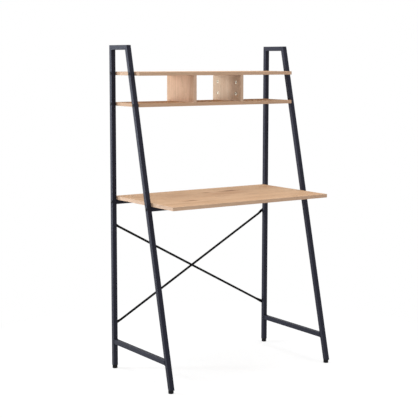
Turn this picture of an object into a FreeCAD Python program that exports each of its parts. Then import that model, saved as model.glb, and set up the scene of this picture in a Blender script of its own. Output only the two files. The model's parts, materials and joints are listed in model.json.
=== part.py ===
import FreeCAD
import Part
import math
import os

# Ladder desk, in millimetres.
# Two leaning side frames of square tube carry a worktop on two crossbars, a pair of shelves with two
# dividers between them, and two crossed brace rods behind the rear posts. Four screw feet level it.
# X runs along the desk, the front faces -Y, Z is up, and the origin is on the floor below its middle.

# Side frames
frame_width = 840.0        # over the outer faces of both frames
frame_height = 1400.0
top_depth = 147.0          # rear face of the post to front face of the leg, at the top
floor_depth = 480.0        # the same, at the floor
tube_side = 20.0
tube_wall = 1.2
tube_corner = 2.0          # outer corner radius of the tube
low_rail_height = 120.0    # middle of the low rail above the floor

# Panels
panel_thickness = 15.0
panel_edge = 0.8           # rounding of the banded edges
worktop_height = 758.0     # top face above the floor
worktop_depth = 463.0
worktop_setback = 4.0      # rear edge in front of the posts' rear faces
shelf_drop = 111.0         # top of the frame down to the upper shelf's top face
cubby_height = 114.0       # clear height between the shelves
shelf_nose = 4.5           # front edge of the shelves in front of the leg, at the lower shelf
divider_spacing = 246.0    # middle to middle
blind_cover = 3.0          # board left beyond a blind hole

# Brace rods
rod_diameter = 10.0
rod_gap = 0.4              # between the rods where they cross
brace_low_height = 191.0   # lower bolts above the floor
brace_drop = 104.0         # worktop's underside down to the upper bolts
tab_width = 14.0           # flattened end
tab_thickness = 3.0
tab_reach = 16.0           # bolt to the end of the flat
tab_taper = 24.0           # length in which the flat becomes round

# Feet
foot_height = 14.0
foot_diameter = 22.0
foot_edge = 2.0            # rounding of the foot's lower edge
foot_bevel = 1.0           # bevel of the foot's upper edge
foot_socket = 8.0          # depth of the stem in the foot
stem_diameter = 8.0
stem_shortfall = 2.0       # stem ends below the top of its plug
plug_rim = 2.0             # rim of the tube plug, below the tube's end
plug_length = 18.0         # plug inside the tube

# Bolts and nuts
bolt_diameter = 6.0
bolt_head_diameter = 13.0
bolt_head_height = 3.0
bolt_head_rim = 1.2        # straight side of the head below its dome
bolt_socket = 4.0          # across the flats of the socket
bolt_socket_depth = 1.8
bolt_tip = 6.0             # bolt past the middle of its barrel nut
barrel_wall = 2.0          # round the thread of a barrel nut
barrel_setback = 25.0      # barrel nut from the end of the shelf
block_length = 16.0        # nut block in the crossbar's end
block_grip = 12.0          # bolt in the nut block
rivet_wall = 1.5           # round the thread of a rivet nut
rivet_length = 13.0        # rivet nut inside the tube
rivet_flange = 2.0         # flange past the barrel of the rivet nut
rivet_flange_thickness = 0.8
rivet_grip = 9.0           # brace bolt in the rivet nut

# Worktop screws
screw_diameter = 4.0
screw_head_diameter = 8.0
screw_head_height = 2.4
screw_spacing = 280.0      # along the crossbar

# Divider fittings
cam_diameter = 15.0
cam_edge = 32.0            # cam from the shelf's face
cam_setback = 37.0         # cam from the divider's front and rear edges
cam_slot_length = 7.5
cam_slot_width = 2.0
cam_slot_depth = 1.6
pin_diameter = 5.0         # neck of the cam pin
pin_head_diameter = 7.0
pin_head_length = 3.0
pin_thread_diameter = 6.0
dowel_diameter = 8.0
dowel_depth = 20.0         # dowel in the divider

# Fits
hole_clearance = 0.25      # radial, round a bolt or pin that passes through
thread_clearance = 0.06    # radial, round a thread, a dowel or a cam
plug_clearance = 0.1       # tube plug and nut block to the tube's inside
cut_overrun = 5.0          # cutters past the face that they cut

# Derived sizes
half_width = frame_width / 2
clear_half = half_width - tube_side
tube_middle = half_width - tube_side / 2
lean_slope = (floor_depth - top_depth) / frame_height
leg_level_width = tube_side * math.hypot(1, lean_slope)
tube_bottom = foot_height + plug_rim
inner_side = tube_side - 2 * tube_wall
inner_corner = max(tube_corner - tube_wall, tube_wall / 2)
worktop_under = worktop_height - panel_thickness
crossbar_height = worktop_under - tube_side / 2
upper_shelf_under = frame_height - shelf_drop - panel_thickness
lower_shelf_top = upper_shelf_under - cubby_height
lower_shelf_under = lower_shelf_top - panel_thickness
brace_high_height = worktop_under - brace_drop
blind_depth = panel_thickness - blind_cover
barrel_diameter = bolt_diameter + 2 * barrel_wall
rivet_diameter = bolt_diameter + 2 * rivet_wall
stem_top = tube_bottom + plug_length - stem_shortfall

sides = {"left": -1, "right": 1}
along_desk = FreeCAD.Vector(1, 0, 0)
backward = FreeCAD.Vector(0, 1, 0)
up = FreeCAD.Vector(0, 0, 1)
parallel_share = 0.999     # edges this nearly along a direction count as parallel to it


# Distances before the posts' rear faces

def post_front(height):
    return tube_side


def post_rear(height):
    return 0


def leg_front(height):
    return top_depth + (frame_height - height) * lean_slope


def leg_rear(height):
    return leg_front(height) - leg_level_width


def leg_middle(height):
    return leg_front(height) - leg_level_width / 2


post_middle = tube_side / 2
tube_faces = {"rear": (post_front, post_rear), "front": (leg_front, leg_rear)}
foot_places = {"rear": post_middle, "front": leg_middle(tube_bottom + plug_length / 2)}
crossbar_places = {"rear": post_middle, "front": leg_middle(crossbar_height)}
screw_places = (-screw_spacing, 0, screw_spacing)
shelf_depth = leg_front(lower_shelf_under) + shelf_nose
shelf_levels = {"upper": upper_shelf_under, "lower": lower_shelf_under}
divider_middles = {"left": -divider_spacing / 2, "right": divider_spacing / 2}
cam_places = (cam_setback, shelf_depth - cam_setback)
brace_bolt_places = [(side * tube_middle, height) for side in sides.values()
                     for height in (brace_low_height, brace_high_height)]

# The bounding box is centred on the origin, so the posts' rear faces stand this far behind it.
front_reach = max(leg_front(foot_height), foot_places["front"] + foot_diameter / 2,
                  worktop_setback + worktop_depth)
rod_crossing = rivet_flange_thickness + tab_thickness / 2
rear_reach = max(rivet_flange_thickness + tab_thickness + bolt_head_height,
                 rod_crossing + rod_gap / 2 + rod_diameter)
rear_y = (front_reach - rear_reach) / 2


def point(x, distance, height):
    """A point from its distance before the posts' rear faces."""
    return FreeCAD.Vector(x, rear_y - distance, height)


def pin(start, direction, radius, length):
    return Part.makeCylinder(radius, length, start, direction)


def box(x_low, x_high, rear, front, low, high):
    """A box between two distances before the posts' rear faces."""
    return Part.makeBox(x_high - x_low, front - rear, high - low, point(x_low, front, low))


def spun(profile, start, direction):
    """A profile of (radius, length) points, turned about its axis and set on a point."""
    points = [FreeCAD.Vector(radius, 0, length) for radius, length in profile]
    solid = Part.Face(Part.makePolygon(points + points[:1])).revolve(FreeCAD.Vector(), up, 360)
    solid.Placement = FreeCAD.Placement(start, FreeCAD.Rotation(up, direction))
    return solid


def round_edges_along(solid, direction, radius):
    edges = [edge for edge in solid.Edges
             if abs(edge.tangentAt(edge.FirstParameter).dot(direction)) > parallel_share]
    return solid.makeFillet(radius, edges)


def save(node, *solids):
    shape = solids[0] if len(solids) == 1 else Part.makeCompound(solids)
    shape.exportStep(os.path.join("parts", node + ".step"))


# Square tube of the side frames: a four-sided outline of (distance, height) corners, whose first and
# third sides run along the tube

def outline_prism(outline, x_low, x_high):
    corners = [point(x_low, *corner) for corner in outline]
    return Part.Face(Part.makePolygon(corners + corners[:1])).extrude(along_desk * (x_high - x_low))


def tube_direction(outline):
    return (point(0, *outline[1]) - point(0, *outline[0])).normalize()


def inset(outline, amount, overrun):
    """The outline with its long sides moved inwards and its ends moved outwards."""
    corners = [point(0, *corner) for corner in outline]
    along = tube_direction(outline)
    inward = along_desk.cross(along)
    if inward.dot(corners[3] - corners[0]) < 0:
        inward = -inward
    steps = [inward * amount - along * overrun, inward * amount + along * overrun,
             along * overrun - inward * amount, -along * overrun - inward * amount]
    moved = [corner + step for corner, step in zip(corners, steps)]
    return [(rear_y - corner.y, corner.z) for corner in moved]


def rounded_prism(outline, x_low, x_high, radius):
    return round_edges_along(outline_prism(outline, x_low, x_high), tube_direction(outline), radius)


def frame_tube(side, outline):
    """A hollow tube of the left (-1) or right (1) frame, open at both ends."""
    x_low = side * tube_middle - tube_side / 2
    body = rounded_prism(outline, x_low, x_low + tube_side, tube_corner)
    hollow = inset(outline, tube_wall, tube_side + cut_overrun)
    return body.cut(rounded_prism(hollow, x_low + tube_wall, x_low + tube_side - tube_wall, inner_corner))


def frame_bolt_places(middle):
    """Where bolts go through a tube: the two shelves and the crossbar."""
    heights = [under + panel_thickness / 2 for under in shelf_levels.values()] + [crossbar_height]
    return [(middle(height), height) for height in heights]


def post_middle_at(height):
    return post_middle


def bolt_holes(side, middle):
    start_x = side * tube_middle - tube_side / 2 - cut_overrun
    return [pin(point(start_x, *place), along_desk, bolt_diameter / 2 + hole_clearance,
                tube_side + 2 * cut_overrun) for place in frame_bolt_places(middle)]


def rear_post(side):
    outline = [(0, tube_bottom), (0, frame_height),
               (tube_side, frame_height - tube_side), (tube_side, tube_bottom)]
    rivet_holes = [pin(point(side * tube_middle, -cut_overrun, height), -backward,
                       rivet_diameter / 2 + hole_clearance, cut_overrun + tube_side / 2)
                   for height in (brace_low_height, brace_high_height)]
    return frame_tube(side, outline).cut(bolt_holes(side, post_middle_at) + rivet_holes)


def front_leg(side):
    inner_height = frame_height - tube_side
    outline = [(leg_front(tube_bottom), tube_bottom), (top_depth, frame_height),
               (leg_rear(inner_height), inner_height), (leg_rear(tube_bottom), tube_bottom)]
    return frame_tube(side, outline).cut(bolt_holes(side, leg_middle))


def top_rail(side):
    inner_height = frame_height - tube_side
    outline = [(0, frame_height), (top_depth, frame_height),
               (leg_rear(inner_height), inner_height), (tube_side, inner_height)]
    return frame_tube(side, outline)


def low_rail(side):
    top = low_rail_height + tube_side / 2
    bottom = low_rail_height - tube_side / 2
    outline = [(tube_side, top), (leg_rear(top), top), (leg_rear(bottom), bottom), (tube_side, bottom)]
    return frame_tube(side, outline)


# Feet: a plug in the tube's end, and a round foot on a threaded stem

def foot_centre(side, end, height):
    return point(side * tube_middle, foot_places[end], height)


def tube_end_outline(end, low, high):
    front, rear = tube_faces[end]
    return [(front(low), low), (front(high), high), (rear(high), high), (rear(low), low)]


def foot_plug(side, end):
    x_low = side * tube_middle - tube_side / 2
    margin = tube_wall + plug_clearance
    rim = tube_end_outline(end, foot_height, tube_bottom)
    core = inset(tube_end_outline(end, tube_bottom, tube_bottom + plug_length), margin, 0)
    plug = rounded_prism(rim, x_low, x_low + tube_side, tube_corner).fuse(
        rounded_prism(core, x_low + margin, x_low + tube_side - margin, inner_corner))
    thread = pin(foot_centre(side, end, foot_height - cut_overrun), up, stem_diameter / 2 + thread_clearance,
                 plug_rim + plug_length + 2 * cut_overrun)
    return plug.removeSplitter().cut(thread)


def foot_pad(side, end):
    pad = pin(foot_centre(side, end, 0), up, foot_diameter / 2, foot_height)
    lower = [edge for edge in pad.Edges if edge.Closed and edge.CenterOfMass.z < foot_height / 2]
    pad = pad.makeFillet(foot_edge, lower)
    upper = max((edge for edge in pad.Edges if edge.Closed), key=lambda edge: edge.CenterOfMass.z)
    pad = pad.makeChamfer(foot_bevel, [upper])
    return pad.cut(pin(foot_centre(side, end, foot_height - foot_socket), up,
                       stem_diameter / 2 + thread_clearance, foot_socket + cut_overrun))


def foot_stem(side, end):
    bottom = foot_height - foot_socket
    return pin(foot_centre(side, end, bottom), up, stem_diameter / 2, stem_top - bottom)


# Crossbars under the worktop, a nut block in each end

def crossbar(place):
    low = worktop_under - tube_side
    rear = place - tube_side / 2
    front = place + tube_side / 2
    body = box(-clear_half, clear_half, rear, front, low, worktop_under)
    hollow = box(-half_width, half_width, rear + tube_wall, front - tube_wall, low + tube_wall,
                 worktop_under - tube_wall)
    holes = [pin(point(x, place, low - cut_overrun), up, screw_diameter / 2 + hole_clearance,
                 tube_side + 2 * cut_overrun) for x in screw_places]
    body = round_edges_along(body, along_desk, tube_corner)
    return body.cut([round_edges_along(hollow, along_desk, inner_corner)] + holes)


def nut_block(side, place):
    half = inner_side / 2 - plug_clearance
    x_low = min(side * clear_half, side * (clear_half - block_length))
    body = box(x_low, x_low + block_length, place - half, place + half, crossbar_height - half,
               crossbar_height + half)
    thread = pin(point(x_low - cut_overrun, place, crossbar_height), along_desk,
                 bolt_diameter / 2 + thread_clearance, block_length + 2 * cut_overrun)
    return round_edges_along(body, along_desk, inner_corner).cut(thread)


def worktop_screw(x, place):
    """A pan head under the crossbar, and a pointed shank up into the worktop."""
    start = point(x, place, worktop_under - tube_side - screw_head_height)
    tip = screw_head_height + tube_side + blind_depth - screw_diameter / 2
    head = screw_head_diameter / 2
    shank = screw_diameter / 2
    profile = [(0, 0), (head - screw_head_height / 2, 0), (head, screw_head_height / 2),
               (head, screw_head_height), (shank, screw_head_height), (shank, tip - screw_diameter), (0, tip)]
    return spun(profile, start, up)


# Bolts: a low domed head with a hexagon socket, on a plain shank

def bolt(seat, direction, reach):
    """A bolt whose head rests on the seat and whose shank runs along the direction."""
    radius = bolt_head_diameter / 2
    rise = bolt_head_height - bolt_head_rim
    ball_radius = (radius ** 2 + rise ** 2) / (2 * rise)
    ball = Part.makeSphere(ball_radius, up * (ball_radius - bolt_head_height))
    head = pin(up * -bolt_head_height, up, radius, bolt_head_height).common(ball)
    corner = FreeCAD.Vector(bolt_socket / math.sqrt(3), 0, bolt_socket_depth - bolt_head_height)
    corners = [FreeCAD.Rotation(up, 360 * turn / 6).multVec(corner) for turn in range(6)]
    socket = Part.Face(Part.makePolygon(corners + corners[:1])).extrude(up * -bolt_head_height)
    solid = head.fuse(pin(FreeCAD.Vector(), up, bolt_diameter / 2, reach)).cut(socket)
    solid.Placement = FreeCAD.Placement(seat, FreeCAD.Rotation(up, direction))
    return solid


def frame_bolts(places, reach):
    """Bolts through both frames, their heads on the outer faces, at (distance, height) places."""
    return [bolt(point(side * half_width, *place), along_desk * -side, reach)
            for side in sides.values() for place in places]


# Worktop, shelves and dividers of banded board

def banded_board(x_low, x_high, rear, front, low, high):
    board = box(x_low, x_high, rear, front, low, high)
    return board.makeFillet(panel_edge, board.Edges)


def worktop():
    board = banded_board(-clear_half, clear_half, worktop_setback, worktop_setback + worktop_depth,
                         worktop_under, worktop_height)
    return board.cut([pin(point(x, place, worktop_under - cut_overrun), up,
                          screw_diameter / 2 + thread_clearance, blind_depth + cut_overrun)
                      for x in screw_places for place in crossbar_places.values()])


def shelf_bolt_places(under):
    height = under + panel_thickness / 2
    return [(post_middle, height), (leg_middle(height), height)]


def barrel_nut(side, distance, under):
    middle = point(side * (clear_half - barrel_setback), distance, under)
    nut = pin(middle, up, barrel_diameter / 2, blind_depth)
    thread = pin(point(side * clear_half, distance, under + panel_thickness / 2), along_desk * -side,
                 bolt_diameter / 2 + thread_clearance, 2 * barrel_setback)
    return nut.cut(thread)


def barrel_nuts(under):
    return [barrel_nut(side, distance, under) for side in sides.values()
            for distance, height in shelf_bolt_places(under)]


def shelf_end_holes(side, distance, under):
    """The bolt's hole in the shelf's end, and the barrel nut's hole in its underside."""
    bolt_start = point(side * (clear_half + cut_overrun), distance, under + panel_thickness / 2)
    bolt_depth = cut_overrun + barrel_setback + bolt_tip + hole_clearance
    nut_start = point(side * (clear_half - barrel_setback), distance, under - cut_overrun)
    return [pin(bolt_start, along_desk * -side, bolt_diameter / 2 + hole_clearance, bolt_depth),
            pin(nut_start, up, barrel_diameter / 2 + thread_clearance, blind_depth + cut_overrun)]


def divider_joints():
    """The shelf faces that a divider meets, each with the way from it into the divider."""
    return {"upper": (upper_shelf_under, -up), "lower": (lower_shelf_top, up)}


def shelf(name):
    under = shelf_levels[name]
    board = banded_board(-clear_half, clear_half, 0, shelf_depth, under, under + panel_thickness)
    cutters = [hole for side in sides.values() for distance, height in shelf_bolt_places(under)
               for hole in shelf_end_holes(side, distance, under)]
    face_height, way = divider_joints()[name]
    holes = [(distance, pin_thread_diameter) for distance in cam_places]
    holes.append((shelf_depth / 2, dowel_diameter))
    cutters += [pin(point(x, distance, face_height) + way * cut_overrun, -way,
                    diameter / 2 + thread_clearance, blind_depth + cut_overrun)
                for x in divider_middles.values() for distance, diameter in holes]
    return board.cut(cutters)


def cam_places_in(name):
    """Middles of a divider's cams, on its face to the middle pigeonhole, each with the way to its pin."""
    face_x = divider_middles[name] - math.copysign(panel_thickness / 2, divider_middles[name])
    return [(point(face_x, distance, height) + way * cam_edge, -way)
            for height, way in divider_joints().values() for distance in cam_places]


def into_divider(name):
    return along_desk * math.copysign(1, divider_middles[name])


def divider(name):
    x = divider_middles[name]
    board = box(x - panel_thickness / 2, x + panel_thickness / 2, 0, shelf_depth, lower_shelf_top,
                upper_shelf_under)
    into = into_divider(name)
    cutters = [pin(centre - into * cut_overrun, into, cam_diameter / 2 + thread_clearance,
                   blind_depth + cut_overrun) for centre, way in cam_places_in(name)]
    cutters += [pin(centre + into * (panel_thickness / 2), way, pin_head_diameter / 2 + hole_clearance,
                    cam_edge + cut_overrun) for centre, way in cam_places_in(name)]
    cutters += [pin(point(x, shelf_depth / 2, height) - way * cut_overrun, way,
                    dowel_diameter / 2 + thread_clearance, dowel_depth + cut_overrun)
                for height, way in divider_joints().values()]
    return round_edges_along(board, up, panel_edge).cut(cutters)


def cam_lock(centre, into, way):
    """A round cam with a cross slot, hollow where the pin's head sits."""
    pocket = pin(centre + into * (panel_thickness / 2) - way * pin_head_length, way,
                 pin_head_diameter / 2 + hole_clearance, cam_diameter)
    sizes = ((cam_slot_length, cam_slot_width), (cam_slot_width, cam_slot_length))
    slots = [Part.makeBox(2 * cam_slot_depth, wide, tall,
                          centre - FreeCAD.Vector(cam_slot_depth, wide / 2, tall / 2))
             for wide, tall in sizes]
    return pin(centre, into, cam_diameter / 2, blind_depth).cut([pocket] + slots)


def cam_locks():
    return [cam_lock(centre, into_divider(name), way)
            for name in divider_middles for centre, way in cam_places_in(name)]


def cam_pin(x, distance, face_height, way):
    """A pin screwed into the shelf, its head in the middle of the cam."""
    tip = blind_depth + cam_edge
    neck = tip - pin_head_length
    profile = [(0, 0), (pin_thread_diameter / 2, 0), (pin_thread_diameter / 2, blind_depth),
               (pin_diameter / 2, blind_depth), (pin_diameter / 2, neck), (pin_head_diameter / 2, neck),
               (pin_head_diameter / 2, tip), (0, tip)]
    return spun(profile, point(x, distance, face_height) - way * blind_depth, way)


def cam_pins():
    return [cam_pin(x, distance, *joint) for x in divider_middles.values()
            for joint in divider_joints().values() for distance in cam_places]


def divider_dowels():
    return [pin(point(x, shelf_depth / 2, height) - way * blind_depth, way, dowel_diameter / 2,
                blind_depth + dowel_depth)
            for x in divider_middles.values() for height, way in divider_joints().values()]


# Brace rods: round bar whose ends are pressed flat and cranked to the posts

def flat_section(centre, sideways):
    """Across the pressed end: two flat faces joined by two round edges."""
    half_flat = sideways * (tab_width - tab_thickness) / 2
    half_thick = backward * tab_thickness / 2
    half_edge = sideways * tab_width / 2
    corners = [centre - half_flat + half_thick, centre + half_flat + half_thick,
               centre + half_flat - half_thick, centre - half_flat - half_thick]
    edges = [Part.LineSegment(corners[0], corners[1]), Part.Arc(corners[1], centre + half_edge, corners[2]),
             Part.LineSegment(corners[2], corners[3]), Part.Arc(corners[3], centre - half_edge, corners[0])]
    return Part.Wire([edge.toShape() for edge in edges])


def round_section(centre, sideways):
    """Across the bar: four quarter circles, to match the four sides of the pressed end."""
    turns = [FreeCAD.Rotation(backward.cross(sideways), 45 * step) for step in range(8)]
    rim = [centre + turn.multVec(backward * rod_diameter / 2) for turn in turns]
    edges = [Part.Arc(rim[middle - 1], rim[middle], rim[middle + 1]) for middle in (0, 2, 4, 6)]
    return Part.Wire([edge.toShape() for edge in edges])


def brace_tab(bolt_place, inward):
    """A pressed end, rounded about its bolt hole."""
    sideways = inward.cross(backward)
    deep = rivet_flange_thickness + 2 * tab_thickness
    outer = bolt_place - inward * tab_width + backward * rod_crossing
    strip = Part.Face(flat_section(outer, sideways)).extrude(inward * (tab_width + tab_reach))
    nose = pin(bolt_place, backward, tab_width / 2, deep)
    corner = bolt_place - sideways * tab_width / 2
    corners = [corner, corner + inward * tab_reach, corner + inward * tab_reach + sideways * tab_width,
               corner + sideways * tab_width]
    plan = Part.Face(Part.makePolygon(corners + corners[:1])).extrude(backward * deep)
    hole = pin(bolt_place, backward, bolt_diameter / 2 + hole_clearance, deep)
    return strip.common(nose.fuse(plan)).cut(hole)


def brace_rod(rising, behind):
    """A rod that rises to the right (1) or to the left (-1), its axis this far behind the posts."""
    start = point(-rising * tube_middle, 0, brace_low_height)
    end = point(rising * tube_middle, 0, brace_high_height)
    length = (end - start).Length
    along = (end - start).normalize()
    sideways = along.cross(backward)
    flats = [start + along * place + backward * rod_crossing for place in (tab_reach, length - tab_reach)]
    rounds = [start + along * place + backward * behind
              for place in (tab_reach + tab_taper, length - tab_reach - tab_taper)]
    sections = [flat_section(flats[0], sideways), round_section(rounds[0], sideways),
                round_section(rounds[1], sideways), flat_section(flats[1], sideways)]
    bar = Part.makeLoft(sections, True, True)
    return bar.fuse([brace_tab(start, along), brace_tab(end, -along)]).removeSplitter()


def rivet_nut(x, height):
    radius = rivet_diameter / 2
    bore = bolt_diameter / 2 + thread_clearance
    rim = radius + rivet_flange
    length = rivet_flange_thickness + rivet_length
    profile = [(bore, 0), (rim, 0), (rim, rivet_flange_thickness), (radius, rivet_flange_thickness),
               (radius, length), (bore, length)]
    return spun(profile, point(x, -rivet_flange_thickness, height), -backward)


def brace_bolt(x, height):
    stack = rivet_flange_thickness + tab_thickness
    return bolt(point(x, -stack, height), -backward, stack + rivet_grip)


def save_frames_and_feet():
    for side_name, side in sides.items():
        save(side_name + "_rear_post", rear_post(side))
        save(side_name + "_front_leg", front_leg(side))
        save(side_name + "_top_rail", top_rail(side))
        save(side_name + "_low_rail", low_rail(side))
        for end in foot_places:
            save(f"{side_name}_{end}_foot_pad", foot_pad(side, end))
            save(f"{side_name}_{end}_foot_stem", foot_stem(side, end))
    save("foot_plugs", *[foot_plug(side, end) for side in sides.values() for end in foot_places])


def save_worktop():
    places = list(crossbar_places.values())
    for name, place in crossbar_places.items():
        save(name + "_crossbar", crossbar(place))
    save("crossbar_nut_blocks", *[nut_block(side, place) for side in sides.values() for place in places])
    bolt_places = [(place, crossbar_height) for place in places]
    save("crossbar_bolts", *frame_bolts(bolt_places, tube_side + block_grip))
    save("worktop", worktop())
    save("worktop_screws", *[worktop_screw(x, place) for x in screw_places for place in places])


def save_shelves():
    reach = tube_side + barrel_setback + bolt_tip
    for name, under in shelf_levels.items():
        save(name + "_shelf", shelf(name))
        save(name + "_shelf_bolts", *frame_bolts(shelf_bolt_places(under), reach))
        save(name + "_shelf_barrel_nuts", *barrel_nuts(under))
    for name in divider_middles:
        save(name + "_divider", divider(name))
    save("cam_locks", *cam_locks())
    save("cam_pins", *cam_pins())
    save("divider_dowels", *divider_dowels())


def save_brace():
    half_step = rod_diameter / 2 + rod_gap / 2
    save("front_brace_rod", brace_rod(1, rod_crossing - half_step))
    save("rear_brace_rod", brace_rod(-1, rod_crossing + half_step))
    save("brace_rivet_nuts", *[rivet_nut(*place) for place in brace_bolt_places])
    save("brace_bolts", *[brace_bolt(*place) for place in brace_bolt_places])


os.makedirs("parts", exist_ok=True)
save_frames_and_feet()
save_worktop()
save_shelves()
save_brace()
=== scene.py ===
import json
import math

import bmesh
import bpy
from mathutils import Matrix, Quaternion, Vector


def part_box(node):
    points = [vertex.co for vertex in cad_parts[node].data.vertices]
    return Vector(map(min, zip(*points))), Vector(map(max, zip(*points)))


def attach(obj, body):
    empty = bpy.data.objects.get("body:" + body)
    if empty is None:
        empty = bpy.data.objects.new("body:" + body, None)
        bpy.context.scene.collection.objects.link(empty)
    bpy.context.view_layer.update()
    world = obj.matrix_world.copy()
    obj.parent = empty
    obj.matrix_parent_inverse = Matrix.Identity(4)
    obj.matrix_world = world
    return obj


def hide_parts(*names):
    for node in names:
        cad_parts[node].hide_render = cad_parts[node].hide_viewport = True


# Ladder desk: leaning frames of painted square tube, oak-effect boards, crossed brace rods and screw feet.
# Lengths are in metres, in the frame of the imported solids.

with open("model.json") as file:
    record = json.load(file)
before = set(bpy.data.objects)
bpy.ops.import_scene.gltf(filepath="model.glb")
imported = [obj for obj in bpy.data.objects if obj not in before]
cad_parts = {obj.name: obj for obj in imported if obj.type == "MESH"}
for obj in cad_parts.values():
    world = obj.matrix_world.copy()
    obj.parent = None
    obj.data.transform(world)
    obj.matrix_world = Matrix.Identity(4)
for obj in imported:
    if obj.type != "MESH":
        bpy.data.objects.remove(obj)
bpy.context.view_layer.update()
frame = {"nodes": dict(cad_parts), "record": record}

scene = bpy.context.scene
nodes = frame["nodes"]
DESK = "desk"
FEET = ("left_front", "left_rear", "right_front", "right_rear")
UP = (0, 0, 1)
QUARTER_TURN = math.radians(90)

# Sizes that the solids' boxes don't give
FRAME_HEIGHT = 1.400
FLOOR_DEPTH = 0.480         # rear face of the post to front face of the leg, at the floor
TOP_DEPTH = 0.147           # the same, at the top
LEG_LEAN = math.atan((FLOOR_DEPTH - TOP_DEPTH) / FRAME_HEIGHT)
RIVET_FLANGE = 0.0008       # between a post and a brace rod's flat end
BRACE_FLAT = 0.003          # thickness of the flat end
CAM_SINK = 0.0006           # cam's face below the divider's

# Angles of the fittings, in degrees
STOP_ANGLE = 137.5          # from one tightened fitting to the next
SMOOTH_ANGLE = 35.0         # past which an edge stays sharp


def colour(red, green, blue):
    return (red, green, blue, 1.0)


WHITE = colour(1, 1, 1)

# Shades of the printed oak, from its fibres to its knots, and of the band on its edges
FIBRE_CREAM = colour(0.760, 0.560, 0.380)
MOTTLE_BROWN = colour(0.520, 0.290, 0.150)
STREAK_BROWN = colour(0.455, 0.262, 0.135)
LATE_WOOD_BROWN = colour(0.450, 0.262, 0.140)
PORE_BROWN = colour(0.300, 0.165, 0.085)
CLOUD_BROWN = colour(0.480, 0.235, 0.115)
KNOT_RIM_BROWN = colour(0.420, 0.190, 0.085)
KNOT_CORE_BROWN = colour(0.200, 0.085, 0.040)
BAND_TAN = colour(0.635, 0.440, 0.330)
GLUE_BROWN = colour(0.260, 0.150, 0.080)

# Noise along the oak's grain: cycles in a metre along and across it, detail and roughness
MOTTLE = (6.0, 15.0, 3.0, 0.6)
BROAD_BANDS = (1.7, 11.0, 4.0, 0.55)
STREAKS = (1.6, 38.0, 4.0, 0.6)
FIBRES = (9.0, 520.0, 3.0, 0.6)
PORES = (42.0, 1100.0, 1.0, 0.5)
NOISE_RANGE = (0.3, 0.7)    # where a noise mostly stays

# The trunk that the oak's figure is cut from, how its grain wanders, and the sheet that it is printed on
TRUNK_TURN = (0, math.radians(4.0), math.radians(2.0))
TRUNK_SHIFT = (0.0, 0.03, 0.075)
WANDER_CYCLES = (1.8, 5.0, 5.0)
WANDER_REACH = (0.0, 0.06, 0.06)
SHEET_SLIP = 0.3            # across the sheet, for each length along it

# Band on a board's edges, and the glue line beside it
EDGE_BAND = 0.001           # thickness
BAND_BLUR = 0.0001          # over which the band ends
GLUE_FADE = (0.00005, 0.0002)   # where the line starts to fade and where it ends, from its middle

# Knots and clouds: where they start to fade and where they end, in shares of their size
KNOT_RIM_FADE = (0.35, 1.0)
KNOT_CORE_FADE = (0.25, 0.50)
CLOUD_FADE = (0.35, 1.0)
KNOT_BEND = 9.0             # how far a knot pushes the rings round it
KNOT_HEIGHT = 0.002         # above the board's middle, where a knot has its full strength

# Spots on the worktop: middle along and across, half length, half width and strength
WORKTOP_KNOTS = ((0.113, 0.104, 0.085, 0.026, 1.00), (-0.222, -0.098, 0.070, 0.021, 0.62),
                 (-0.012, 0.103, 0.045, 0.016, 0.60))
WORKTOP_CLOUDS = ((0.370, 0.130, 0.080, 0.045, 0.40), (-0.200, 0.070, 0.110, 0.040, 0.24),
                  (0.060, 0.040, 0.150, 0.050, 0.36), (-0.330, 0.120, 0.050, 0.025, 0.36))


# Node building

def add(tree, kind, inputs=None, **settings):
    """A node with its settings, and its inputs set to values or joined to other nodes' outputs."""
    made = tree.nodes.new(kind)
    for name, value in settings.items():
        setattr(made, name, value)
    for name, value in (inputs or {}).items():
        if isinstance(value, bpy.types.NodeSocket):
            tree.links.new(value, made.inputs[name])
        else:
            made.inputs[name].default_value = value
    return made


def sums(tree, operation, first, second):
    return add(tree, "ShaderNodeMath", {0: first, 1: second}, operation=operation).outputs[0]


def times(tree, first, second):
    return sums(tree, "MULTIPLY", first, second)


def vector_sums(tree, operation, first, second=(0, 0, 0)):
    return add(tree, "ShaderNodeVectorMath", {0: first, 1: second}, operation=operation).outputs[0]


def length_of(tree, vector):
    return add(tree, "ShaderNodeVectorMath", {0: vector}, operation="LENGTH").outputs["Value"]


def parts_of(tree, vector):
    return add(tree, "ShaderNodeSeparateXYZ", {0: vector}).outputs


def made_of(tree, **parts):
    return add(tree, "ShaderNodeCombineXYZ", parts).outputs[0]


# Shader building

def new_finish(name):
    """A material with only its output and a Principled shader."""
    finish = bpy.data.materials.new(name)
    finish.use_nodes = True
    tree = finish.node_tree
    tree.nodes.clear()
    surface = add(tree, "ShaderNodeBsdfPrincipled")
    add(tree, "ShaderNodeOutputMaterial", {"Surface": surface.outputs[0]})
    return finish, tree, surface


def spread(tree, value, low, high, to_low=0.0, to_high=1.0):
    """Maps a value from one range to another, and holds it there."""
    return add(tree, "ShaderNodeMapRange", {"Value": value, "From Min": low, "From Max": high,
                                            "To Min": to_low, "To Max": to_high}).outputs[0]


def evened(tree, noise, to_low=0.0, to_high=1.0):
    return spread(tree, noise, *NOISE_RANGE, to_low, to_high)


def tint(tree, share, first, second):
    """A mix of two colours, whose sockets follow those of the node's other types."""
    return add(tree, "ShaderNodeMix", {0: share, 6: first, 7: second}, data_type="RGBA").outputs[2]


def place(tree, scale=(1, 1, 1), turn=(0, 0, 0), shift=(0, 0, 0), source=None):
    """Object coordinates, or another vector, scaled, turned and shifted."""
    if source is None:
        source = add(tree, "ShaderNodeTexCoord").outputs["Object"]
    return add(tree, "ShaderNodeMapping", {"Vector": source, "Location": shift, "Rotation": turn,
                                           "Scale": scale}).outputs[0]


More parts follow.
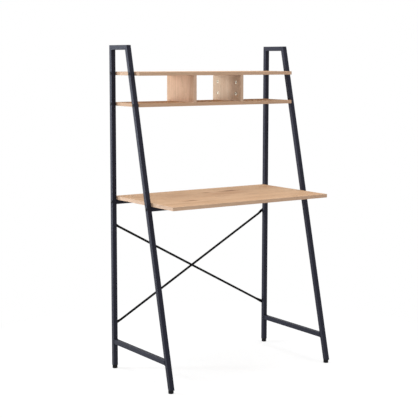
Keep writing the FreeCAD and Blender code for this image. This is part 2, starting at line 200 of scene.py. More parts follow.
def grainy(tree, vector, scale=1.0, detail=2.0, roughness=0.5):
    return add(tree, "ShaderNodeTexNoise", {"Vector": vector, "Scale": scale, "Detail": detail,
                                            "Roughness": roughness}).outputs["Fac"]


def along_grain(tree, sheet, along, across, detail, roughness):
    """Noise drawn out along the grain."""
    stretched = place(tree, scale=(along, across, across), source=sheet)
    return grainy(tree, stretched, detail=detail, roughness=roughness)


def coat(tree, surface, shade, roughness):
    tree.links.new(shade, surface.inputs["Base Color"])
    tree.links.new(roughness, surface.inputs["Roughness"])


def raise_surface(tree, surface, height, depth, strength):
    bump = add(tree, "ShaderNodeBump", {"Height": height, "Distance": depth, "Strength": strength})
    tree.links.new(bump.outputs[0], surface.inputs["Normal"])


# Finishes

def powder_coat(name, dark, light, rough_low, rough_high, gloss, gloss_tint=WHITE):
    """Powder coat: a slightly uneven colour with fine orange peel."""
    finish, tree, surface = new_finish(name)
    surface.inputs["Specular IOR Level"].default_value = gloss
    surface.inputs["Specular Tint"].default_value = gloss_tint
    cloud = grainy(tree, place(tree), scale=7.0, detail=3.0)
    peel = grainy(tree, place(tree), scale=620.0, roughness=0.55)
    dust = grainy(tree, place(tree), scale=2300.0, detail=1.0)
    coat(tree, surface, tint(tree, evened(tree, cloud), dark, light),
         evened(tree, peel, rough_low, rough_high))
    height = sums(tree, "ADD", peel, times(tree, dust, 0.35))
    raise_surface(tree, surface, height, depth=0.00006, strength=0.3)
    return finish


def spot_share(tree, grain, spots, fade):
    """How strongly each point lies in a spot."""
    share = 0.0
    for along, across, half_length, half_width, strength in spots:
        scale = (1 / half_length, 1 / half_width, 0)
        shift = (-along / half_length, -across / half_width, 0)
        reach = length_of(tree, place(tree, scale=scale, shift=shift, source=grain))
        share = sums(tree, "MAXIMUM", share, spread(tree, reach, *fade, strength, 0.0))
    return share


def edge_inset(tree, board, upright):
    """How far each point of a board lies inside its outline."""
    low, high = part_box(board)
    middle, half = (low + high) / 2, (high - low) / 2
    off = vector_sums(tree, "ABSOLUTE", vector_sums(tree, "SUBTRACT", place(tree), middle))
    inset = parts_of(tree, vector_sums(tree, "SUBTRACT", half, off))
    return sums(tree, "MINIMUM", inset["Y"], inset["Z" if upright else "X"])


def wandering(tree, sheet, grain):
    """The grain's coordinates, with its lines led slowly to and fro."""
    slow = place(tree, scale=WANDER_CYCLES, source=sheet)
    wander = add(tree, "ShaderNodeTexNoise", {"Vector": slow, "Scale": 1.0, "Detail": 2.0}).outputs["Color"]
    wander = vector_sums(tree, "SUBTRACT", wander, (0.5, 0.5, 0.5))
    return vector_sums(tree, "ADD", grain, vector_sums(tree, "MULTIPLY", wander, WANDER_REACH))


def oak_laminate(name, board, early, late, rough, gloss, cut, upright=False, knots=(), clouds=()):
    """Oak-effect laminate: rings of a trunk below the board, streaks, short pores and an edge band.

    The cut says which length of the printed sheet the board is taken from.
    """
    finish, tree, surface = new_finish(name)
    surface.inputs["Specular IOR Level"].default_value = gloss
    low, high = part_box(board)
    on_board = place(tree, shift=-(low + high) / 2)
    grain = place(tree, turn=(0, QUARTER_TURN if upright else 0, 0), source=on_board)
    sheet = place(tree, shift=(cut, SHEET_SLIP * cut, 0), source=grain)

    mottle = along_grain(tree, sheet, *MOTTLE)
    broad = along_grain(tree, sheet, *BROAD_BANDS)
    streaks = along_grain(tree, sheet, *STREAKS)
    fibres = along_grain(tree, sheet, *FIBRES)
    pores = along_grain(tree, sheet, *PORES)

    bent = wandering(tree, sheet, grain)
    trunk = place(tree, turn=TRUNK_TURN, shift=TRUNK_SHIFT, source=bent)
    bend = 0.0
    if knots:
        upper_half = spread(tree, parts_of(tree, grain)["Z"], 0.0, KNOT_HEIGHT)
        knot_rim = times(tree, spot_share(tree, bent, knots, KNOT_RIM_FADE), upper_half)
        knot_core = times(tree, spot_share(tree, bent, knots, KNOT_CORE_FADE), upper_half)
        bend = times(tree, knot_rim, KNOT_BEND)
    rings = add(tree, "ShaderNodeTexWave", {
        "Vector": trunk, "Scale": 26.0, "Distortion": 1.4, "Detail": 2.0, "Detail Scale": 1.6,
        "Phase Offset": bend}, wave_type="RINGS", rings_direction="X", wave_profile="SAW").outputs["Fac"]
    late_wood = spread(tree, rings, 0.45, 1.0)
    figure = times(tree, late_wood, spread(tree, broad, 0.36, 0.66, 0.25, 0.70))

    shade = tint(tree, evened(tree, broad), early, late)
    shade = tint(tree, spread(tree, mottle, 0.45, 0.75, to_high=0.38), shade, MOTTLE_BROWN)
    shade = tint(tree, spread(tree, streaks, 0.5, 0.78, to_high=0.42), shade, STREAK_BROWN)
    shade = tint(tree, times(tree, figure, 0.65), shade, LATE_WOOD_BROWN)
    shade = tint(tree, spread(tree, fibres, 0.35, 0.7, to_high=0.26), shade, FIBRE_CREAM)
    pore_share = times(tree, spread(tree, pores, 0.60, 0.68, to_high=0.60),
                       spread(tree, rings, 0.1, 0.6, 1.0, 0.3))
    shade = tint(tree, pore_share, shade, PORE_BROWN)
    if clouds:
        shade = tint(tree, spot_share(tree, bent, clouds, CLOUD_FADE), shade, CLOUD_BROWN)
    if knots:
        ragged = times(tree, knot_rim, spread(tree, streaks, 0.3, 0.6, 0.55, 0.9))
        shade = tint(tree, ragged, shade, KNOT_RIM_BROWN)
        shade = tint(tree, times(tree, knot_core, 0.85), shade, KNOT_CORE_BROWN)

    inset = edge_inset(tree, board, upright)
    band = spread(tree, inset, EDGE_BAND - BAND_BLUR, EDGE_BAND, 1.0, 0.0)
    off_glue = sums(tree, "ABSOLUTE", sums(tree, "SUBTRACT", inset, EDGE_BAND), 0.0)
    shade = tint(tree, times(tree, band, 0.5), shade, BAND_TAN)
    shade = tint(tree, spread(tree, off_glue, *GLUE_FADE, 0.45, 0.0), shade, GLUE_BROWN)

    patchy = evened(tree, fibres, rough - 0.05, rough + 0.05)
    coat(tree, surface, shade, sums(tree, "SUBTRACT", patchy, times(tree, band, 0.2)))
    height = sums(tree, "SUBTRACT", times(tree, fibres, 0.5), pore_share)
    raise_surface(tree, surface, height, depth=0.00006, strength=0.5)
    return finish


def moulded_plastic(name, dark, light, rough_low, rough_high, gloss):
    """Matt plastic with a fine spark texture."""
    finish, tree, surface = new_finish(name)
    surface.inputs["Specular IOR Level"].default_value = gloss
    spark = grainy(tree, place(tree), scale=1600.0)
    cloud = grainy(tree, place(tree), scale=60.0)
    coat(tree, surface, tint(tree, evened(tree, cloud), dark, light),
         evened(tree, spark, rough_low, rough_high))
    raise_surface(tree, surface, spark, depth=0.00015, strength=0.5)
    return finish


def zinc_metal(name, dark, light, rough_low, rough_high):
    """Zinc: metal with faint streaks and clouding."""
    finish, tree, surface = new_finish(name)
    surface.inputs["Metallic"].default_value = 1.0
    cloud = grainy(tree, place(tree), scale=240.0, detail=3.0)
    lines = grainy(tree, place(tree, scale=(900.0, 900.0, 5200.0)), detail=1.0)
    coat(tree, surface, tint(tree, evened(tree, cloud), dark, light),
         evened(tree, lines, rough_low, rough_high))
    raise_surface(tree, surface, lines, depth=0.00003, strength=0.35)
    return finish


def beech(name, light, dark, rough_low, rough_high):
    """Raw beech with short flecks."""
    finish, tree, surface = new_finish(name)
    flecks = grainy(tree, place(tree, scale=(1400.0, 1400.0, 160.0)))
    coat(tree, surface, tint(tree, spread(tree, flecks, 0.4, 0.7), light, dark),
         evened(tree, flecks, rough_low, rough_high))
    raise_surface(tree, surface, flecks, depth=0.00005, strength=0.4)
    return finish


frame_paint = powder_coat(
    "blue_black_powder_coat", dark=colour(0.0134, 0.0137, 0.0202), light=colour(0.0186, 0.0190, 0.0268),
    rough_low=0.47, rough_high=0.57, gloss=0.20, gloss_tint=colour(0.69, 0.70, 1.0))
brace_paint = powder_coat(
    "black_brace_paint", dark=colour(0.0020, 0.0020, 0.0021), light=colour(0.0038, 0.0038, 0.0039),
    rough_low=0.42, rough_high=0.56, gloss=0.10)
bolt_black = powder_coat(
    "black_bolt_finish", dark=colour(0.0050, 0.0050, 0.0060), light=colour(0.0090, 0.0090, 0.0100),
    rough_low=0.30, rough_high=0.44, gloss=0.20)
# The boards are one laminate; each copy's base colour is set for the light its board catches, so the
# differences between the copies are painted light and shade.
worktop_oak = oak_laminate(
    "worktop_oak", "worktop", early=colour(0.832, 0.554, 0.342), late=colour(0.718, 0.442, 0.256),
    rough=0.64, gloss=0.14, cut=0.4, knots=WORKTOP_KNOTS, clouds=WORKTOP_CLOUDS)
upper_shelf_oak = oak_laminate(
    "upper_shelf_oak", "upper_shelf", early=colour(0.720, 0.455, 0.264), late=colour(0.610, 0.360, 0.195),
    rough=0.64, gloss=0.12, cut=3.1)
# Darker copy of the laminate: painted shade under the upper shelf.
lower_shelf_oak_painted_shade = oak_laminate(
    "lower_shelf_oak_painted_shade", "lower_shelf", early=colour(0.685, 0.412, 0.228), late=colour(0.562, 0.318, 0.160),
    rough=0.70, gloss=0.04, cut=5.7)
left_divider_oak = oak_laminate(
    "left_divider_oak", "left_divider", early=colour(0.805, 0.530, 0.355), late=colour(0.720, 0.455, 0.290),
    rough=0.56, gloss=0.20, cut=8.2, upright=True)
# Paler, less saturated copy of the laminate: painted sheen on its left face.
right_divider_oak_painted_sheen = oak_laminate(
    "right_divider_oak_painted_sheen", "right_divider", early=colour(0.712, 0.528, 0.366),
    late=colour(0.622, 0.444, 0.297), rough=0.52, gloss=0.26, cut=9.6, upright=True)
foot_plastic = moulded_plastic(
    "black_foot_plastic", dark=colour(0.010, 0.010, 0.011), light=colour(0.017, 0.017, 0.018),
    rough_low=0.52, rough_high=0.72, gloss=0.12)
bright_zinc = zinc_metal(
    "bright_zinc", dark=colour(0.40, 0.40, 0.41), light=colour(0.56, 0.56, 0.55),
    rough_low=0.22, rough_high=0.42)
# Cam zinc, darker and browner than bright zinc: the dark brown is partly painted shade of the cams' pockets
# in the pigeonhole.
cast_zinc = zinc_metal(
    "cast_zinc", dark=colour(0.240, 0.200, 0.150), light=colour(0.365, 0.312, 0.240),
    rough_low=0.34, rough_high=0.50)
raw_beech = beech(
    "raw_beech", light=colour(0.72, 0.55, 0.37), dark=colour(0.56, 0.38, 0.23),
    rough_low=0.6, rough_high=0.75)

FINISH_OF_SLOT = {"frame_paint": frame_paint, "brace_paint": brace_paint, "bolt_black": bolt_black,
                  "foot_plastic": foot_plastic, "zinc": bright_zinc, "dowel_wood": raw_beech}
FINISH_OF_NODE = {"worktop": worktop_oak, "upper_shelf": upper_shelf_oak, "lower_shelf": lower_shelf_oak_painted_shade,
                  "left_divider": left_divider_oak, "right_divider": right_divider_oak_painted_sheen,
                  "cam_locks": cast_zinc}


def finish_solids():
    """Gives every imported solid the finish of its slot, or its own."""
    slot_of = {part["node"]: part["material_slot"] for part in frame["record"]["subparts"]}
    for name, solid in nodes.items():
        finish = FINISH_OF_NODE[name] if name in FINISH_OF_NODE else FINISH_OF_SLOT[slot_of[name]]
        solid.data.materials.clear()
        solid.data.materials.append(finish)


# Seats of the repeated fittings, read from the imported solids

def solid_boxes(name):
    """Lowest and highest corner of each separate solid in a node."""
    mesh = bmesh.new()
    mesh.from_mesh(nodes[name].data)
    bmesh.ops.remove_doubles(mesh, verts=mesh.verts, dist=1e-6)
    boxes = []
    waiting = set(mesh.verts)
    while waiting:
        reached = [waiting.pop()]
        members = list(reached)
        while reached:
            for edge in reached.pop().link_edges:
                for vertex in edge.verts:
                    if vertex in waiting:
                        waiting.remove(vertex)
                        reached.append(vertex)
                        members.append(vertex)
        low = Vector([min(vertex.co[axis] for vertex in members) for axis in range(3)])
        high = Vector([max(vertex.co[axis] for vertex in members) for axis in range(3)])
        boxes.append((low, high))
    mesh.free()
    return sorted(boxes, key=lambda box: tuple(box[0]))


def seat(box, direction, **levels):
    """The middle of a box, moved to the levels given for x, y or z, and the direction of its fitting."""
    low, high = box
    place_at = (low + high) / 2
    for axis, level in levels.items():
        setattr(place_at, axis, level)
    return place_at, direction


def side_of(box):
    return 1 if box[0].x + box[1].x > 0 else -1


def seats_mesh(name, seats, stop_angle):
    """A mesh with one point for each seat, and the turn that points Z along its direction.

    Each fitting stops at an angle of its own, as tightened fittings do.
    """
    mesh = bpy.data.meshes.new(name)
    mesh.from_pydata([place_at for place_at, direction in seats], [], [])
    turns = mesh.attributes.new("turn", "FLOAT_VECTOR", "POINT")
    for index, (place_at, direction) in enumerate(seats):
        stop = Quaternion(UP, math.radians(stop_angle * index))
        turns.data[index].vector = (Vector(direction).to_track_quat("Z", "Y") @ stop).to_euler()
    return mesh


# Geometry Nodes for the repeated fittings

def new_fitting(name, sizes):
    """A tree that takes seats, named sizes and a finish, and the outputs of its group input."""
    tree = bpy.data.node_groups.new(name, "GeometryNodeTree")
    tree.interface.new_socket("Seats", in_out="INPUT", socket_type="NodeSocketGeometry")
    for label, value in sizes.items():
        size = tree.interface.new_socket(label, in_out="INPUT", socket_type="NodeSocketFloat")
        size.default_value = value
    tree.interface.new_socket("Finish", in_out="INPUT", socket_type="NodeSocketMaterial")
    tree.interface.new_socket("Fittings", in_out="OUTPUT", socket_type="NodeSocketGeometry")
    given = add(tree, "NodeGroupInput").outputs
    return tree, given


def moved(tree, geometry, shift=(0, 0, 0), turn=(0, 0, 0)):
    return add(tree, "GeometryNodeTransform", {"Geometry": geometry, "Translation": shift,
                                               "Rotation": turn}).outputs[0]


def upward(tree, height):
    return made_of(tree, Z=height)


def lifted(tree, geometry, height, share=1.0):
    """Geometry moved up by a share of a height."""
    return moved(tree, geometry, upward(tree, times(tree, height, share)))


def positions(tree):
    return add(tree, "GeometryNodeInputPosition").outputs[0]


def where(tree, value, operation, level, **margin):
    return add(tree, "FunctionNodeCompare", {0: value, 1: level, **margin}, operation=operation).outputs[0]


def nudged(tree, geometry, chosen, **change):
    """Moves the chosen points to a Position, or by an Offset."""
    return add(tree, "GeometryNodeSetPosition", {"Geometry": geometry, "Selection": chosen,
                                                 **change}).outputs[0]


def drum(tree, radius, depth, vertices, side_segments=1, fill_segments=1):
    return add(tree, "GeometryNodeMeshCylinder", {"Vertices": vertices, "Radius": radius, "Depth": depth,
                                                  "Side Segments": side_segments,
                                                  "Fill Segments": fill_segments}).outputs["Mesh"]


def slab(tree, width, length, depth):
    size = made_of(tree, X=width, Y=length, Z=depth)
    return add(tree, "GeometryNodeMeshCube", {"Size": size}).outputs["Mesh"]


def cross(tree, length, width, depth, shift=(0, 0, 0)):
    """Two bars at right angles, to cut a cross of this depth into a face at the shift."""
    return [moved(tree, slab(tree, length, width, times(tree, depth, 2.0)), shift, (0, 0, turn))
            for turn in (0.0, QUARTER_TURN)]


def carved(tree, body, *cutters):
    made = add(tree, "GeometryNodeMeshBoolean", operation="DIFFERENCE", solver="EXACT")
    tree.links.new(body, made.inputs[0])
    for cutter in cutters:
        tree.links.new(cutter, made.inputs[1])
    return add(tree, "GeometryNodeMergeByDistance", {"Geometry": made.outputs[0],
                                                     "Distance": 0.00001}).outputs[0]


def joined(tree, *shells):
    made = add(tree, "GeometryNodeJoinGeometry")
    for shell in shells:
        tree.links.new(shell, made.inputs[0])
    return made.outputs[0]


def domed_head(tree, given, vertices, rings):
    """A head below the seat, whose outer face rises to its middle."""
    radius, height = given["Head Radius"], given["Head Height"]
    parts = parts_of(tree, positions(tree))
    reach = length_of(tree, made_of(tree, X=parts["X"], Y=parts["Y"]))
    share = sums(tree, "POWER", sums(tree, "DIVIDE", reach, radius), 2.0)
    outer_face = where(tree, parts["Z"], "LESS_THAN", 0.0)
    head = nudged(tree, drum(tree, radius, height, vertices, fill_segments=rings), outer_face,
                  Offset=upward(tree, times(tree, share, given["Dome"])))
    return lifted(tree, head, height, -0.5)


def set_out(tree, given, fitting):
    """One fitting on each seat, made real and given its finish."""
    turn = add(tree, "GeometryNodeInputNamedAttribute", {"Name": "turn"}, data_type="FLOAT_VECTOR")
    spun = add(tree, "FunctionNodeEulerToRotation", {0: turn.outputs[0]}).outputs[0]
    copies = add(tree, "GeometryNodeInstanceOnPoints", {"Points": given["Seats"], "Instance": fitting,
                                                        "Rotation": spun}).outputs[0]
    real = add(tree, "GeometryNodeRealizeInstances", {"Geometry": copies}).outputs[0]
    coated = add(tree, "GeometryNodeSetMaterial", {"Geometry": real, "Material": given["Finish"]})
    add(tree, "NodeGroupOutput", {"Fittings": coated.outputs[0]})
    return tree


def socket_bolt_tree():
    """A low domed head below the seat, with a hexagon socket, and a shank above it."""
    tree, given = new_fitting("socket_bolts", {"Head Radius": 0.0065, "Head Height": 0.003, "Dome": 0.0018,
                                               "Socket Radius": 0.0023, "Socket Depth": 0.0018,
                                               "Shank Radius": 0.003, "Shank Length": 0.03})
    head = domed_head(tree, given, vertices=48, rings=8)
    socket = drum(tree, given["Socket Radius"], times(tree, given["Socket Depth"], 2.0), vertices=6)
    socket = lifted(tree, socket, given["Head Height"], -1.0)
    length = given["Shank Length"]
    shank = lifted(tree, drum(tree, given["Shank Radius"], length, vertices=24), length, 0.5)
    return set_out(tree, given, joined(tree, carved(tree, head, socket), shank))


def cross_screw_tree():
    """A pan head below the seat, with a cross recess, and a pointed shank above it."""
    tree, given = new_fitting("cross_screws", {"Head Radius": 0.004, "Head Height": 0.0024, "Dome": 0.0011,
                                               "Recess": 0.0042, "Recess Width": 0.0008,
                                               "Recess Depth": 0.0012, "Shank Radius": 0.002,
                                               "Shank Length": 0.03})
    head = domed_head(tree, given, vertices=40, rings=6)
    face = upward(tree, times(tree, given["Head Height"], -1.0))
    recess = cross(tree, given["Recess"], given["Recess Width"], given["Recess Depth"], face)

    # The shank has rings of points at its ends and middle: its tip closes in, its middle rises to the cone
    radius, length = given["Shank Radius"], given["Shank Length"]
    tip_share, cone_share = 0.05, 2.0
    shank = lifted(tree, drum(tree, radius, length, vertices=20, side_segments=2), length, 0.5)
    position = positions(tree)
    rise = sums(tree, "DIVIDE", parts_of(tree, position)["Z"], length)
    tip = vector_sums(tree, "MULTIPLY", position, (tip_share, tip_share, 1.0))
    shank = nudged(tree, shank, where(tree, rise, "GREATER_THAN", 0.75), Position=tip)
    cone = times(tree, radius, cone_share)
    to_cone = upward(tree, sums(tree, "SUBTRACT", times(tree, length, 0.5), cone))
    shank = nudged(tree, shank, where(tree, rise, "EQUAL", 0.5, Epsilon=0.2), Offset=to_cone)
    return set_out(tree, given, joined(tree, carved(tree, head, *recess), shank))


def cam_lock_tree():
    """A round cam whose face lies on the seat, with a cross slot, a bevelled rim and a mark."""
    tree, given = new_fitting("cam_locks", {"Radius": 0.0075, "Depth": 0.012, "Bevel": 0.0005,
                                            "Slot": 0.0078, "Slot Width": 0.0019, "Slot Depth": 0.0018,
                                            "Mark Length": 0.0016, "Mark Width": 0.0007,
                                            "Mark Depth": 0.0004, "Mark Reach": 0.0056})
    radius, depth, bevel = given["Radius"], given["Depth"], given["Bevel"]
    middle = times(tree, depth, 0.5)

    # The cam has rings of points at its ends and middle: its face closes in, its middle drops to the bevel
    near_face = 0.0001
    body = moved(tree, drum(tree, radius, depth, vertices=48, side_segments=2), upward(tree, middle))
    position = positions(tree)
    height = parts_of(tree, position)["Z"]
    share = sums(tree, "DIVIDE", sums(tree, "SUBTRACT", radius, bevel), radius)
    rim = vector_sums(tree, "MULTIPLY", position, made_of(tree, X=share, Y=share, Z=1.0))
    body = nudged(tree, body, where(tree, height, "LESS_THAN", near_face), Position=rim)
    to_bevel = upward(tree, sums(tree, "SUBTRACT", bevel, middle))
    body = nudged(tree, body, where(tree, height, "EQUAL", middle, Epsilon=0.0005), Offset=to_bevel)

    slots = cross(tree, given["Slot"], given["Slot Width"], given["Slot Depth"])
    mark = slab(tree, given["Mark Length"], given["Mark Width"], times(tree, given["Mark Depth"], 2.0))
    mark = moved(tree, mark, made_of(tree, X=given["Mark Reach"]))
    return set_out(tree, given, carved(tree, body, *slots, mark))


def barrel_nut_tree():
    """A barrel nut whose slotted end lies on the seat."""
    tree, given = new_fitting("barrel_nuts", {"Radius": 0.005, "Depth": 0.012, "Slot Width": 0.0014,
                                              "Slot Depth": 0.0015, "Bore Radius": 0.00306,
                                              "Bore Height": 0.0075})
    body = lifted(tree, drum(tree, given["Radius"], given["Depth"], vertices=40), given["Depth"], 0.5)
    across = times(tree, given["Radius"], 3.0)
    slot = slab(tree, across, given["Slot Width"], times(tree, given["Slot Depth"], 2.0))
    bore = moved(tree, drum(tree, given["Bore Radius"], across, vertices=24),
                 upward(tree, given["Bore Height"]), (0, QUARTER_TURN, 0))
    return set_out(tree, given, carved(tree, body, slot, bore))


def threaded_stem_tree():
    """A threaded stem that stands on its seat: a core with a ridge wound round it."""
    tree, given = new_fitting("threaded_stems", {"Radius": 0.004, "Core Radius": 0.00342, "Length": 0.026,
                                                 "Pitch": 0.00125})
    length, pitch = given["Length"], given["Pitch"]
    core = lifted(tree, drum(tree, given["Core Radius"], length, vertices=28), length, 0.5)
    run = sums(tree, "SUBTRACT", length, times(tree, pitch, 2.0))
    turns = sums(tree, "DIVIDE", run, pitch)
    depth = sums(tree, "SUBTRACT", given["Radius"], given["Core Radius"])
    ridge_half = times(tree, depth, 0.75)
    inner = sums(tree, "SUBTRACT", given["Radius"], ridge_half)
    helix = add(tree, "GeometryNodeCurveSpiral", {"Resolution": 22, "Rotations": turns,
                                                  "Start Radius": inner, "End Radius": inner,
                                                  "Height": run}).outputs[0]
    ridge = add(tree, "GeometryNodeCurvePrimitiveCircle", {"Resolution": 4, "Radius": ridge_half},
                mode="RADIUS").outputs[0]
    thread = add(tree, "GeometryNodeCurveToMesh", {"Curve": helix, "Profile Curve": ridge,
                                                   "Fill Caps": True}).outputs[0]
    return set_out(tree, given, joined(tree, core, lifted(tree, thread, pitch)))


def weld_bead_tree():
    """A rippled bead round the end of a square tube, in the seat's plane."""
    tree, given = new_fitting("weld_beads", {"Width": 0.02, "Height": 0.02, "Corner": 0.002, "Bead": 0.0016,
                                             "Ripple": 0.0003, "Step": 0.0016})
    step = given["Step"]
    outline = add(tree, "GeometryNodeCurvePrimitiveQuadrilateral", {
        "Width": given["Width"], "Height": given["Height"]}, mode="RECTANGLE").outputs[0]
    outline = add(tree, "GeometryNodeFilletCurve", {"Curve": outline, "Radius": given["Corner"], "Count": 4,
                                                    "Limit Radius": True}, mode="POLY").outputs[0]
    outline = add(tree, "GeometryNodeResampleCurve", {"Curve": outline, "Length": times(tree, step, 0.25)},
                  mode="LENGTH").outputs[0]
    along = add(tree, "GeometryNodeSplineParameter").outputs["Length"]
    wave = sums(tree, "SINE", times(tree, sums(tree, "DIVIDE", along, step), 2 * math.pi), 0.0)
    swell = sums(tree, "ADD", given["Bead"], times(tree, wave, given["Ripple"]))
    section = add(tree, "GeometryNodeCurvePrimitiveCircle", {"Resolution": 10, "Radius": 1.0},
                  mode="RADIUS").outputs[0]
    bead = add(tree, "GeometryNodeCurveToMesh", {"Curve": outline, "Profile Curve": section,
                                                 "Scale": swell}).outputs[0]
    return set_out(tree, given, bead)


def fit_out(name, tree, seats, finish, slot, replaced=(), body=DESK, smooth_angle=SMOOTH_ANGLE,
            stop_angle=STOP_ANGLE, **sizes):
    """Runs a fitting's tree on its seats and keeps the result as a plain mesh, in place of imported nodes."""
    piece = bpy.data.objects.new(name, seats_mesh(name + "_seats", seats, stop_angle))
    scene.collection.objects.link(piece)
    modifier = piece.modifiers.new("fittings", "NODES")
    modifier.node_group = tree
    identifiers = {socket.name: socket.identifier for socket in tree.interface.items_tree
                   if socket.in_out == "INPUT"}
    modifier[identifiers["Finish"]] = finish
    for label, value in sizes.items():
        modifier[identifiers[label.replace("_", " ").title()]] = value
    settled = piece.evaluated_get(bpy.context.evaluated_depsgraph_get())
    mesh = bpy.data.meshes.new_from_object(settled)
    piece.modifiers.clear()
    piece.data = mesh
    mesh.name = name
    mesh.shade_smooth()
    mesh.set_sharp_from_angle(angle=math.radians(smooth_angle))
    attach(piece, body)
    if replaced:
        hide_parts(*replaced)


def fit_bolts():
    """Bolts through the frames into shelves and crossbars, and through the brace rods into the posts."""
    tree = socket_bolt_tree()
    post_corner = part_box("right_rear_post")[1]
    for name in ("upper_shelf_bolts", "lower_shelf_bolts", "crossbar_bolts"):
        boxes = solid_boxes(name)
        seats = [seat(box, (-side_of(box), 0, 0), x=side_of(box) * post_corner.x) for box in boxes]
        reach = post_corner.x - min(min(abs(low.x), abs(high.x)) for low, high in boxes)
        fit_out(name + "_with_sockets", tree, seats, bolt_black, "bolt_black", [name], shank_length=reach)
    boxes = solid_boxes("brace_bolts")
    flat_face = post_corner.y + RIVET_FLANGE + BRACE_FLAT
    seats = [seat(box, (0, -1, 0), y=flat_face) for box in boxes]
    fit_out("brace_bolts_with_sockets", tree, seats, bolt_black, "bolt_black", ["brace_bolts"],
            shank_length=flat_face - boxes[0][0].y)


def fit_screws():
    """Screws up through the crossbars into the worktop."""
    boxes = solid_boxes("worktop_screws")
    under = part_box("rear_crossbar")[0].z
    seats = [seat(box, UP, z=under) for box in boxes]
    fit_out("worktop_screws_cross_head", cross_screw_tree(), seats, bright_zinc, "zinc", ["worktop_screws"],
            shank_length=boxes[0][1].z - under)


def fit_cams():
    """Cams in the dividers' faces to the middle pigeonhole."""
    boxes = solid_boxes("cam_locks")
    seats = []
    for box in boxes:
        side = side_of(box)
        inner_corner = box[0] if side > 0 else box[1]
        seats.append(seat(box, (side, 0, 0), x=inner_corner.x + side * CAM_SINK))
    fit_out("cam_locks_slotted", cam_lock_tree(), seats, cast_zinc, "zinc", ["cam_locks"],
            depth=boxes[0][1].x - boxes[0][0].x - CAM_SINK)


def fit_barrel_nuts():
    """Barrel nuts in the shelves' undersides."""
    tree = barrel_nut_tree()
    for name in ("upper_shelf_barrel_nuts", "lower_shelf_barrel_nuts"):
        seats = [seat(box, UP, z=box[0].z) for box in solid_boxes(name)]
        fit_out(name + "_slotted", tree, seats, bright_zinc, "zinc", [name], stop_angle=0.0)


def fit_stems():
    """Threaded stems of the four feet."""
    tree = threaded_stem_tree()
    for foot in FEET:
        node = foot + "_foot_stem"
        low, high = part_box(node)
        fit_out(node + "_threaded", tree, [seat((low, high), UP, z=low.z)], bright_zinc, "zinc", [node],
                body=foot + "_foot", smooth_angle=50.0, length=high.z - low.z)


def fit_welds():
    """Weld beads where the low rails meet the posts and the leaning legs."""
    tree = weld_bead_tree()
    post_seats, leg_seats = [], []
    for side in ("left", "right"):
        low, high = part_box(side + "_low_rail")
        rail_height = high.z - low.z
        leg_y = low.y + rail_height / 2 * math.tan(LEG_LEAN)
        post_seats.append(seat((low, high), (0, 1, 0), y=high.y))
        leg_seats.append(seat((low, high), (0, -math.cos(LEG_LEAN), math.sin(LEG_LEAN)), y=leg_y))
    fit_out("post_weld_beads", tree, post_seats, frame_paint, "frame_paint", smooth_angle=60.0,
            stop_angle=0.0)
    fit_out("leg_weld_beads", tree, leg_seats, frame_paint, "frame_paint", smooth_angle=60.0,
            stop_angle=0.0, height=rail_height / math.cos(LEG_LEAN))


# Floor, light and camera

MIDDLE = Vector((0.0, 0.0, 0.7))
FLOOR_HALF = 9.0
FLOOR_FADE = (0.6, 1.3)     # where the floor starts to turn white and where it is, from the origin
COOL = (0.88, 0.95, 1.0)
NEUTRAL = (1.0, 1.0, 1.0)


def seen_rays(tree):
    """1 for rays to the camera, in reflections and through glass, 0 for light on the desk."""
    path = add(tree, "ShaderNodeLightPath").outputs
    seen = sums(tree, "MAXIMUM", path["Is Camera Ray"], path["Is Glossy Ray"])
    return sums(tree, "MAXIMUM", seen, path["Is Transmission Ray"])


def mixed(tree, share, first, second):
    return add(tree, "ShaderNodeMixShader", {0: share, 1: first.outputs[0], 2: second.outputs[0]})


def pale_floor():
    """A pale floor that takes the desk's shadow, white further out, and clear from below."""
    mesh = bpy.data.meshes.new("floor")
    corners = [(x * FLOOR_HALF, y * FLOOR_HALF, 0) for x, y in ((-1, -1), (1, -1), (1, 1), (-1, 1))]
    mesh.from_pydata(corners, [], [(0, 1, 2, 3)])
    floor = bpy.data.objects.new("floor", mesh)
    scene.collection.objects.link(floor)
    finish = bpy.data.materials.new("pale_floor")
    finish.use_nodes = True
    tree = finish.node_tree
    tree.nodes.clear()
    plain = add(tree, "ShaderNodeBsdfDiffuse", {"Color": colour(0.80, 0.80, 0.80)})
    shaded = add(tree, "ShaderNodeBsdfDiffuse", {"Color": colour(0.45, 0.45, 0.45)})
    glow = add(tree, "ShaderNodeEmission", {"Color": WHITE, "Strength": 0.70})
    near = add(tree, "ShaderNodeAddShader", {0: shaded.outputs[0], 1: glow.outputs[0]})
    white = add(tree, "ShaderNodeEmission", {"Color": WHITE, "Strength": 1.0})
    seen = mixed(tree, spread(tree, length_of(tree, place(tree)), *FLOOR_FADE), near, white)
    above = mixed(tree, seen_rays(tree), plain, seen)
    from_below = add(tree, "ShaderNodeNewGeometry").outputs["Backfacing"]
    sided = mixed(tree, from_below, above, add(tree, "ShaderNodeBsdfTransparent"))
    add(tree, "ShaderNodeOutputMaterial", {"Surface": sided.outputs[0]})
    mesh.materials.append(finish)


def white_surround(strength):
    """White to the camera and in reflections, and softer as light on the desk."""
    world = bpy.data.worlds.new("white_surround")
    scene.world = world
    world.use_nodes = True
    tree = world.node_tree
    tree.nodes.clear()
    level = spread(tree, seen_rays(tree), 0.0, 1.0, strength, 1.0)
    background = add(tree, "ShaderNodeBackground", {"Color": WHITE, "Strength": level})
    add(tree, "ShaderNodeOutputWorld", {"Surface": background.outputs[0]})


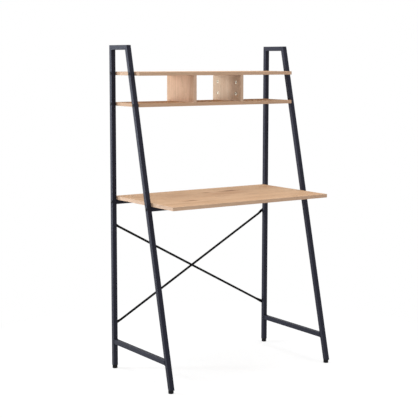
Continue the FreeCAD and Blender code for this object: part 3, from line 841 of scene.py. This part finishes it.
def softbox(name, position, aim, width, height, power, hue):
    light = bpy.data.lights.new(name, "AREA")
    light.color = hue
    light.shape = "RECTANGLE"
    light.size = width
    light.size_y = height
    light.energy = power
    lamp = bpy.data.objects.new(name, light)
    scene.collection.objects.link(lamp)
    lamp.location = position
    lamp.visible_camera = False
    lamp.rotation_euler = (Vector(aim) - Vector(position)).to_track_quat("-Z", "Y").to_euler()


def photo_camera(position, azimuth, pitch, roll, focal_pixels, photo_pixels, shift_y):
    """The viewpoint fitted to the desk's edges in the photograph, with its angles in degrees."""
    azimuth, pitch, roll = math.radians(azimuth), math.radians(pitch), math.radians(roll)
    data = bpy.data.cameras.new("photo_camera")
    data.sensor_width = 36.0
    data.lens = focal_pixels / photo_pixels * data.sensor_width
    data.shift_y = shift_y
    level = Vector((math.cos(azimuth), -math.sin(azimuth), 0))
    ahead = Vector((math.sin(azimuth) * math.cos(pitch), math.cos(azimuth) * math.cos(pitch),
                    -math.sin(pitch)))
    upright = level.cross(ahead)
    across = level * math.cos(roll) + upright * math.sin(roll)
    upright = upright * math.cos(roll) - level * math.sin(roll)
    camera = bpy.data.objects.new("photo_camera", data)
    scene.collection.objects.link(camera)
    turn = Matrix((across, upright, -ahead)).transposed().to_4x4()
    camera.matrix_world = Matrix.Translation(position) @ turn
    scene.camera = camera


finish_solids()
fit_bolts()
fit_screws()
fit_cams()
fit_barrel_nuts()
fit_stems()
fit_welds()

pale_floor()
white_surround(strength=0.33)
softbox("left_softbox", position=(-2.88, 1.93, 1.25), aim=(0.0, 0.1, 1.1), width=0.45, height=1.6,
        power=63.0, hue=COOL)
softbox("rear_softbox", position=(-2.0, 2.9, 1.2), aim=(0.0, 0.1, 0.9), width=0.5, height=2.4,
        power=33.0, hue=COOL)
softbox("overhead_softbox", position=(0.0, -0.2, 3.4), aim=MIDDLE, width=3.4, height=3.4,
        power=65.5, hue=NEUTRAL)
softbox("front_softbox", position=(0.9, -4.2, 0.6), aim=MIDDLE, width=2.2, height=2.0,
        power=24.0, hue=NEUTRAL)
photo_camera(position=(-2.745144, -3.882698, 1.341398), azimuth=34.615, pitch=7.019, roll=0.112,
             focal_pixels=1103.585, photo_pixels=418, shift_y=-0.033)

scene.view_settings.view_transform = "Standard"
